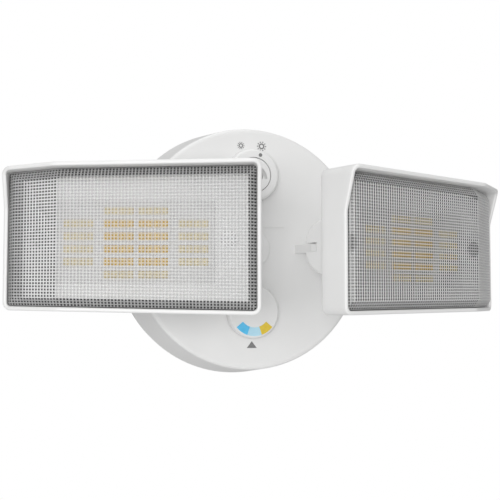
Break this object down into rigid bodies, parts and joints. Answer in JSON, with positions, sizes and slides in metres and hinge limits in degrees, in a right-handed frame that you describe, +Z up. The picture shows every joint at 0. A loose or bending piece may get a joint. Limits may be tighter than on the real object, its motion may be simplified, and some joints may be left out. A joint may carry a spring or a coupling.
{
  "type": "twin head wall floodlight",
  "caption": "Wall light with a round canopy, two hooded rectangular LED heads on turning and tilting knuckles, and two setting dials.",
  "frame": {"origin": "centre of the back of the round canopy, on the wall", "axes": "+Z is up. The light faces -Y and +Y points into the wall. +X is to the right as seen by someone facing the light."},
  "size_m": [0.2674, 0.1168, 0.136],
  "materials": {
    "white_plastic": "satin",
    "plate_plastic": "matte",
    "foam": "matte",
    "steel": "satin",
    "zinc": "satin",
    "green_screw": "satin",
    "board": "gloss",
    "dark_parts": "matte",
    "smoked_window": "gloss",
    "grey_print": "matte",
    "blue_print": "satin",
    "pale_blue_print": "satin",
    "yellow_print": "satin",
    "black_rubber": "matte",
    "lens_plastic": "gloss",
    "grey_rubber": "matte",
    "reflector_white": "gloss",
    "heat_aluminium": "satin",
    "led_board_white": "satin",
    "led_phosphor": "satin",
    "led_pale": "satin"
  },
  "bodies": {
    "canopy_body": {"canopy": "white_plastic", "wall_gasket": "foam", "back_plate": "plate_plastic", "plate_screws": "steel", "crossbar": "zinc", "ground_screw": "green_screw", "mount_screw": "steel", "screw_cap": "white_plastic", "driver_board": "board", "driver_parts": "dark_parts", "brightness_switch": "dark_parts", "colour_switch": "dark_parts", "photocell_insert": "white_plastic", "photocell_window": "smoked_window", "sun_marks": "grey_print", "pointer_mark": "grey_print", "wire_grommet": "black_rubber", "blank_plate": "white_plastic"},
    "brightness_dial": {"brightness_ring": "white_plastic", "ring_dot": "grey_print"},
    "colour_dial": {"colour_knob": "white_plastic", "arc_cool": "blue_print", "arc_neutral": "pale_blue_print", "arc_warm": "yellow_print"},
    "left_knuckle": {"l_knuckle_inner": "white_plastic", "l_knuckle_outer": "white_plastic", "l_yaw_screw": "steel", "l_yaw_nut": "steel", "l_tilt_screw": "steel", "l_tilt_nut": "steel"},
    "left_head": {"l_housing": "white_plastic", "l_bracket": "white_plastic", "l_bracket_screws": "steel", "l_lens": "lens_plastic", "l_lens_gasket": "grey_rubber", "l_reflector": "reflector_white", "l_heat_plate": "heat_aluminium", "l_led_board": "led_board_white", "l_leds": "led_phosphor", "l_pale_leds": "led_pale", "l_board_screws": "steel"},
    "right_knuckle": {"r_knuckle_inner": "white_plastic", "r_knuckle_outer": "white_plastic", "r_yaw_screw": "steel", "r_yaw_nut": "steel", "r_tilt_screw": "steel", "r_tilt_nut": "steel"},
    "right_head": {"r_housing": "white_plastic", "r_bracket": "white_plastic", "r_bracket_screws": "steel", "r_lens": "lens_plastic", "r_lens_gasket": "grey_rubber", "r_reflector": "reflector_white", "r_heat_plate": "heat_aluminium", "r_led_board": "led_board_white", "r_leds": "led_phosphor", "r_pale_leds": "led_pale", "r_board_screws": "steel"}
  },
  "joints": [
    {"name": "left_turn", "type": "hinge", "parent": "canopy_body", "child": "left_knuckle", "pos_m": [-0.0356, -0.05454, 0], "axis": [0, 0, -1], "range_deg": [-17, 20]},
    {"name": "left_tilt", "type": "hinge", "parent": "left_knuckle", "child": "left_head", "pos_m": [-0.039, -0.065, 0], "axis": [0.9511, -0.309, 0], "range_deg": [-30, 30]},
    {"name": "right_turn", "type": "hinge", "parent": "canopy_body", "child": "right_knuckle", "pos_m": [0.0356, -0.05454, 0], "axis": [0, 0, 1], "range_deg": [-17, 20]},
    {"name": "right_tilt", "type": "hinge", "parent": "right_knuckle", "child": "right_head", "pos_m": [0.039, -0.065, 0], "axis": [0.9511, 0.309, 0], "range_deg": [-30, 30]},
    {"name": "brightness_turn", "type": "hinge", "parent": "canopy_body", "child": "brightness_dial", "pos_m": [0, -0.038, 0.0394], "axis": [0, -1, 0], "range_deg": [0, 75]},
    {"name": "colour_turn", "type": "hinge", "parent": "canopy_body", "child": "colour_dial", "pos_m": [0, -0.038, -0.034], "axis": [0, -1, 0], "range_deg": [-37, 37]}
  ]
}
